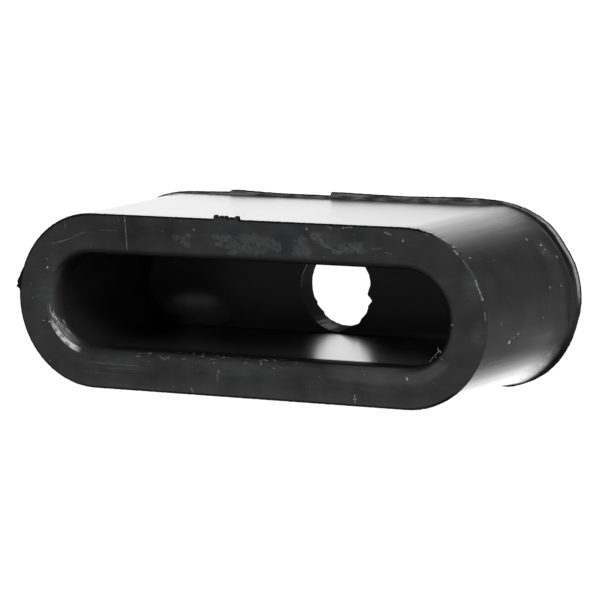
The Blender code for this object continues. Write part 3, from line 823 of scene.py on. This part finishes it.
# The painted shade's own dark colour, a little paler in the hole
SHADE_TONE, HOLE_TONE = 0.006, 0.030
shade_colour = plain_grey(SHADE_TONE + in_hole * HOLE_TONE)
painted_shade = {"Base Color": shade_colour, "Roughness": 1.0, "Specular IOR Level": 0.0}
painted_shade = nodes.node("ShaderNodeBsdfPrincipled", {}, painted_shade)
surface = nodes.node("ShaderNodeMixShader", {}, {0: unlit, 1: surface, 2: painted_shade})
nodes.node("ShaderNodeOutputMaterial", {}, {"Surface": surface})
block_mesh.materials.append(rubber)
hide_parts("mount_bushing")
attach(block, "root")

# The fuzz
# A few hairs of rubber that tore loose with the flash at the pocket's mouth, at its lower right.
# They are pale with dust, hang on by one end and lean out over the pocket.
HAIR_RADIUS = 0.055
HAIR_TAPER = 0.6
# Each from its root to its tip: (x, depth behind the front face, height)
HAIRS = (
    ((30.95, 0.05, -5.00), (30.20, 0.45, -4.02)), ((30.22, 0.45, -4.00), (28.60, 0.60, -5.58)),
    ((31.10, 0.05, -4.93), (29.00, 0.55, -5.03)), ((29.97, 0.60, -4.35), (29.75, 0.70, -3.69)),
    ((28.62, 0.60, -5.56), (28.90, 0.60, -6.30)),
)

hairs = bmesh.new()
for hair in HAIRS:
    start, end = (Vector((x, FRONT + in_by, z + MIDDLE_HEIGHT)) * MM for x, in_by, z in hair)
    line = end - start
    aim = line.to_track_quat("Z", "Y").to_matrix().to_4x4()
    bmesh.ops.create_cone(
        hairs,
        cap_ends=True,
        segments=6,
        radius1=HAIR_RADIUS * MM,
        radius2=HAIR_RADIUS * MM * HAIR_TAPER,
        depth=line.length,
        matrix=Matrix.Translation((start + end) / 2) @ aim,
    )
hair_mesh = bpy.data.meshes.new("mouth_fuzz")
hairs.to_mesh(hair_mesh)
hairs.free()
hair_mesh.shade_smooth()
fuzz = bpy.data.objects.new("mouth_fuzz", hair_mesh)
bpy.context.scene.collection.objects.link(fuzz)
torn, nodes = new_material("torn_rubber")
place = nodes.node("ShaderNodeTexCoord", output="Object")
dusted = nodes.node("ShaderNodeTexNoise", {}, {"Vector": place, "Scale": 2500.0, "Detail": 2.0})
dusted = dusted.ramp(0.40, 0.62, 0.02, 0.30)
dusty_rubber = {"Base Color": plain_grey(dusted), "Roughness": 0.9 - dusted}
dusty_rubber = nodes.node("ShaderNodeBsdfPrincipled", {}, dusty_rubber)
nodes.node("ShaderNodeOutputMaterial", {}, {"Surface": dusty_rubber})
hair_mesh.materials.append(torn)
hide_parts("mount_bushing")
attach(fuzz, "root")

# The table
# A wide sheet of plain white card, lit to pure white. The block leans forwards a little on it,
# because the lip under its rear edge stands proud of its underside.
TABLE_REACH = 6.0
CARD_WHITE = (0.92, 0.92, 0.92, 1.0)
# How bright the card looks to the camera, and how much brighter in reflections
SEEN_GLOW, MIRRORED_GLOW = 1.12, 1.6
# Where the lip's underside touches the table, and how far the block leans on it
LEAN_TOUCH = Vector((0.0, 12.85 * MM, 0.0))
LEAN = math.atan2(0.85, 26.6)


def flat_sheet(name, reach, level=0.0):
    """A level square that leans as the table does."""
    shape = bmesh.new()
    bmesh.ops.create_grid(shape, x_segments=1, y_segments=1, size=reach)
    lean = Matrix.Rotation(-LEAN, 3, "X")
    bmesh.ops.rotate(shape, verts=shape.verts, cent=(0, 0, 0), matrix=lean)
    bmesh.ops.translate(shape, verts=shape.verts, vec=LEAN_TOUCH + Vector((0, 0, level)))
    mesh = bpy.data.meshes.new(name)
    shape.to_mesh(mesh)
    shape.free()
    sheet = bpy.data.objects.new(name, mesh)
    bpy.context.scene.collection.objects.link(sheet)
    return sheet


table = flat_sheet("white_table", TABLE_REACH)
card, nodes = new_material("white_card")
rays = nodes.node("ShaderNodeLightPath", output="Is Camera Ray")
seen = nodes.maths("MAXIMUM", rays, rays.beside("Is Transmission Ray"))
mirrored = rays.beside("Is Glossy Ray")
paper = nodes.node("ShaderNodeBsdfDiffuse", {}, {"Color": CARD_WHITE})
glow = nodes.node("ShaderNodeEmission", {}, {"Strength": SEEN_GLOW + mirrored * MIRRORED_GLOW})
glowing = nodes.maths("MAXIMUM", seen * 0.88, mirrored * 0.97)
card_surface = nodes.node("ShaderNodeMixShader", {}, {0: glowing, 1: paper, 2: glow})
nodes.node("ShaderNodeOutputMaterial", {}, {"Surface": card_surface})
table.data.materials.append(card)

# The light
# White surroundings, one broad lamp high at the front right, and dark cards that only reflections
# see: the room in front of the table, and the dark side behind the block at the right.
# The level that lights the block, and what reflections see over it
ROOM_LIGHT, MIRRORED_LIGHT = 0.5, 1.80
world = bpy.data.worlds.new("white_room")
world.use_nodes = True
world.node_tree.nodes.clear()
bpy.context.scene.world = world
nodes = Socket(world.node_tree)
rays = nodes.node("ShaderNodeLightPath", output="Is Camera Ray")
seen = nodes.maths("MAXIMUM", rays, rays.beside("Is Transmission Ray"))
mirrored = rays.beside("Is Glossy Ray")
extra = nodes.maths("MAXIMUM", seen * (1 - ROOM_LIGHT), mirrored * MIRRORED_LIGHT)
sky = nodes.node("ShaderNodeBackground", {}, {"Strength": ROOM_LIGHT + extra})
nodes.node("ShaderNodeOutputWorld", {}, {"Surface": sky})

KEY_SIDE = Vector((0.5, -0.45, 0.7))
KEY_STRENGTH = 2.0
KEY_SPREAD = math.radians(28)
key_light = bpy.data.lights.new("key", "SUN")
key_light.energy = KEY_STRENGTH
key_light.angle = KEY_SPREAD
key = bpy.data.objects.new("key", key_light)
key.rotation_euler = KEY_SIDE.to_track_quat("Z", "Y").to_euler()
bpy.context.scene.collection.objects.link(key)


def only_reflected(piece):
    """A card that lights nothing and that the camera can't see: it shows in reflections."""
    piece.visible_camera = False
    piece.visible_diffuse = False
    piece.visible_shadow = False
    piece.visible_transmission = False


def dark_card(nodes, clear):
    """Black where the mask is 0, and open where it is 1."""
    black = nodes.node("ShaderNodeEmission", {}, {"Strength": 0.0})
    open_side = nodes.node("ShaderNodeBsdfTransparent")
    surface = nodes.node("ShaderNodeMixShader", {}, {0: clear, 1: black, 2: open_side})
    nodes.node("ShaderNodeOutputMaterial", {}, {"Surface": surface})


# Place across the room behind the block, from the left (-1 to 1), and how bright it looks there
REAR_GLOW = (
    (-0.47, 1.0), (-0.36, 0.80), (-0.27, 0.71), (-0.17, 0.61), (-0.06, 0.38), (0.06, 0.15),
    (0.17, 0.025), (0.36, 0.02), (0.47, 0.07),
)
FRONT_GLOW = 0.02
ROOM_RADIUS = 0.45

dome = bmesh.new()
bmesh.ops.create_uvsphere(dome, u_segments=96, v_segments=48, radius=ROOM_RADIUS)
dome_mesh = bpy.data.meshes.new("dark_room")
dome.to_mesh(dome_mesh)
dome.free()
dome_mesh.shade_smooth()
room = bpy.data.objects.new("dark_room", dome_mesh)
bpy.context.scene.collection.objects.link(room)
walls, nodes = new_material("dark_room")
place = nodes.node("ShaderNodeTexCoord", output="Object")
across = nodes.node("ShaderNodeSeparateXYZ", {}, {0: place})
rear_glow = nodes.node(
    "ShaderNodeValToRGB",
    {"stops": [(x / 2 + 0.5, (glow, glow, glow)) for x, glow in REAR_GLOW]},
    {0: across * (0.5 / ROOM_RADIUS) + 0.5},
)
behind = (across.beside(1) * (1 / ROOM_RADIUS)).ramp(-0.1, 0.25)
clear = behind * (rear_glow - FRONT_GLOW) + FRONT_GLOW
towards_key = nodes.node(
    "ShaderNodeVectorMath",
    {"operation": "DOT_PRODUCT"},
    {0: place, 1: KEY_SIDE.normalized() / ROOM_RADIUS},
    output="Value",
)
dark_card(nodes, nodes.maths("MAXIMUM", clear, towards_key.ramp(0.94, 0.97) * 0.3))
dome_mesh.materials.append(walls)
only_reflected(room)

# The mat is dark beside the block's right end, further out behind it, and in front of its face
MAT_REACH, MAT_LEVEL = 0.6, 0.05 * MM
mat = flat_sheet("dark_mat", MAT_REACH, MAT_LEVEL)
shade, nodes = new_material("dark_mat")
place = nodes.node("ShaderNodeTexCoord", output="Object")
across = nodes.node("ShaderNodeSeparateXYZ", {}, {0: place})
depth = across.beside(1) * PER_MM
right_side = (across * PER_MM - depth.ramp(24, 32) * 5).ramp(29, 38.5) * 0.93
front_side = depth.ramp(-13.8, -24) * 0.96
dark_card(nodes, 1 - nodes.maths("MAXIMUM", right_side, front_side))
mat.data.materials.append(shade)
only_reflected(mat)

# The camera
# It stands at the front right and a little above, about half a metre away, with a long lens.
YAW, PITCH, ROLL = (math.radians(angle) for angle in (29.8183, 7.7497, -1.1807))
# Millimetres: the front face's middle in the view, its distance, and the lens
VIEW_SHIFT = (-7.7073, -1.3727)
VIEW_DISTANCE = 515.978
SENSOR_WIDTH, FOCAL_LENGTH = 36.0, 223.573

right = Vector((math.cos(YAW), math.sin(YAW), 0.0))
backwards = Vector((
    math.sin(YAW) * math.cos(PITCH), -math.cos(YAW) * math.cos(PITCH), math.sin(PITCH),
))
up = backwards.cross(right)
right, up = (
    math.cos(ROLL) * right + math.sin(ROLL) * up,
    -math.sin(ROLL) * right + math.cos(ROLL) * up,
)
eye = backwards * VIEW_DISTANCE - right * VIEW_SHIFT[0] - up * VIEW_SHIFT[1]
eye += Vector((0.0, FRONT, MIDDLE_HEIGHT))
lens = bpy.data.cameras.new("camera")
lens.sensor_width = SENSOR_WIDTH
lens.lens = FOCAL_LENGTH
lens.clip_start, lens.clip_end = 0.05, 20.0
camera = bpy.data.objects.new("camera", lens)
aim = Matrix((right, up, backwards)).transposed().to_4x4()
camera.matrix_world = Matrix.Translation(eye * MM) @ aim
bpy.context.scene.collection.objects.link(camera)
bpy.context.scene.camera = camera
bpy.context.scene.view_settings.view_transform = "Standard"
